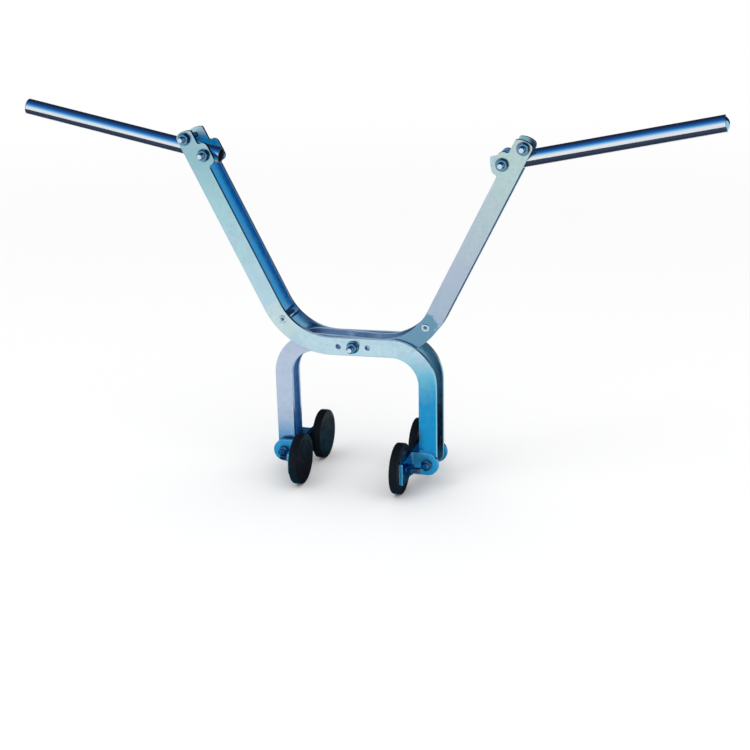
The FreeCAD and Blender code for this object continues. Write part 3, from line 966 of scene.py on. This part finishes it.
def blend(stops, place):
    """A colour between (place, colour) stops."""
    for (low, one), (high, two) in zip(stops, stops[1:]):
        if place <= high:
            return between(one, two, max(0.0, (place - low) / (high - low)))
    return list(stops[-1][1])


def smooth(value, low, high):
    """0 below low, 1 above high, and smooth between them."""
    share = min(1.0, max(0.0, (value - low) / (high - low)))
    return share * share * (3 - 2 * share)


# A vault from the rear horizon over the top, in degrees: dark, blue overhead, white towards the front horizon.
vault_radius, vault_half, vault_lift, vault_end, vault_rows = 6.0, 9.0, 0.05, 166.0, 84
vault_bands = [
    (0.0, (0.020, 0.030, 0.050)), (70.0, (0.011, 0.027, 0.065)), (99.0, (0.020, 0.070, 0.25)),
    (122.0, (0.010, 0.17, 0.56)), (144.0, (0.18, 0.54, 0.92)), (156.0, (0.62, 0.85, 0.98)), (vault_end, white),
]
points, colours = [], []
for row in range(vault_rows):
    turn = vault_end * row / (vault_rows - 1)
    y = vault_radius * math.cos(math.radians(turn))
    z = floor_height + vault_lift + vault_radius * math.sin(math.radians(turn))
    for x in (-vault_half, vault_half):
        points.append((x, y, z))
        colours.append((*blend(vault_bands, turn), 1.0))
card("sky_vault", points, 2, colours)

# A card on the floor: dark below the handles and between the pads, blue in front of the right leg.
# Its patches in metres: pairs say where a change starts and where it ends.
floor_card_half, floor_card_steps, floor_card_lift = 1.7, 160, 0.001
handle_shade, leg_shade, pad_shade = (0.045, 0.060, 0.10), (0.020, 0.42, 0.72), (0.022, 0.036, 0.065)
right_inner, right_inner_width, right_inner_shift, right_shift_y = 0.12, 0.08, 0.10, (0.50, 0.65)
right_outer = (0.66, 0.80)
left_inner, left_outer = (0.52, 0.64), (1.50, 1.65)
rear_reach, right_reach, left_reach, left_reach_more, left_more_x = 0.45, 1.03, 1.10, 0.28, (0.62, 1.00)
reach_softness = 0.15
leg_reach_rear, leg_reach_more, leg_more_x, leg_softness = 0.28, 0.38, (-0.14, -0.06), 0.12
leg_inner = (-0.30, -0.22)
pad_strip = (0.07, 0.10)


def floor_patches(x, y):
    """How dark the floor card is below the handles, and how blue below the legs."""
    right_start = right_inner - right_inner_shift * smooth(abs(y), *right_shift_y)
    right_side = smooth(x, right_start, right_start + right_inner_width) * (1 - smooth(x, *right_outer))
    left_side = smooth(-x, *left_inner) * (1 - smooth(-x, *left_outer))
    front_reach = right_reach if x > 0 else left_reach + left_reach_more * smooth(-x, *left_more_x)
    reach = front_reach if y < 0 else rear_reach
    handles = max(right_side, left_side) * (1 - smooth(abs(y), reach - reach_softness, reach + reach_softness))
    leg_reach = leg_reach_rear
    if y < 0:
        leg_reach += leg_reach_more * smooth(x, *leg_more_x)
    legs = smooth(x, *leg_inner) * (1 - smooth(abs(y), leg_reach - leg_softness, leg_reach))
    return handles, legs


points, colours, lifts = [], [], []
for row in range(floor_card_steps + 1):
    y = floor_card_half * (2 * row / floor_card_steps - 1)
    for column in range(floor_card_steps + 1):
        x = floor_card_half * (2 * column / floor_card_steps - 1)
        handles, legs = floor_patches(x, y)
        share = handles / max(1e-6, handles + legs * (1 - handles))
        shade = between(leg_shade, handle_shade, share)
        shade = between(shade, pad_shade, 1 - smooth(abs(y), *pad_strip))
        points.append((x, y, floor_height + floor_card_lift))
        colours.append((*shade, max(handles, legs)))
        lifts.append((*[handles * (1 - value) for value in shade], 1.0))
card("floor_card", points, floor_card_steps + 1, colours)

# Only the polished handles mirror the dark of it: for the rest a second card makes the floor white again.
second_lift = 0.0005
plain_receivers = bpy.data.collections.new("plain_floor_receivers")
for name, obj in nodes.items():
    if not name.endswith(("_handle_tube", "_cap")):
        plain_receivers.objects.link(obj)
for pieces, made in looks:
    if pieces is not cap_pieces:
        for piece in pieces:
            plain_receivers.objects.link(piece)
second_points = [(x, y, z + second_lift) for x, y, z in points]
card("floor_lift", second_points, floor_card_steps + 1, lifts, plain_receivers)


def lamp(name, place, target, size, power):
    """A soft round lamp that no surface mirrors."""
    data = bpy.data.lights.new(name, "AREA")
    data.shape = "DISK"
    data.size = size
    data.energy = power
    obj = bpy.data.objects.new(name, data)
    scene.collection.objects.link(obj)
    obj.location = place
    obj.rotation_mode = "QUATERNION"
    obj.rotation_quaternion = (Vector(target) - Vector(place)).to_track_quat("-Z", "Y")
    obj.visible_glossy = False


lamp_target = (0, 0, 0.25)
lamp("key", (-1.3, -1.7, 3.2), lamp_target, size=1.8, power=14)
lamp("fill", (2.6, -1.0, 2.2), lamp_target, size=1.8, power=8)

# Camera: fitted to the photograph, with the focal length and the width in pixels.
camera_place = Vector((0.6971, -2.1144, 0.9161))
camera_azimuth = math.radians(17.51)
camera_elevation = math.radians(19.23)
camera_roll = math.radians(-1.30)
camera_focal = 1365.5
camera_sensor = 36.0
camera_reach = 200.0
picture_width = 750.0
back = Vector((
    math.sin(camera_azimuth) * math.cos(camera_elevation),
    -math.cos(camera_azimuth) * math.cos(camera_elevation),
    math.sin(camera_elevation),
))
right = Vector((math.cos(camera_azimuth), math.sin(camera_azimuth), 0))
up = back.cross(right)
rolled_right = math.cos(camera_roll) * right + math.sin(camera_roll) * up
rolled_up = -math.sin(camera_roll) * right + math.cos(camera_roll) * up
camera_data = bpy.data.cameras.new("camera")
camera_data.sensor_width = camera_sensor
camera_data.lens = camera_focal / picture_width * camera_sensor
camera_data.clip_end = camera_reach
camera = bpy.data.objects.new("camera", camera_data)
scene.collection.objects.link(camera)
camera.matrix_world = Matrix((
    (rolled_right.x, rolled_up.x, back.x, camera_place.x),
    (rolled_right.y, rolled_up.y, back.y, camera_place.y),
    (rolled_right.z, rolled_up.z, back.z, camera_place.z),
    (0, 0, 0, 1),
))
scene.camera = camera
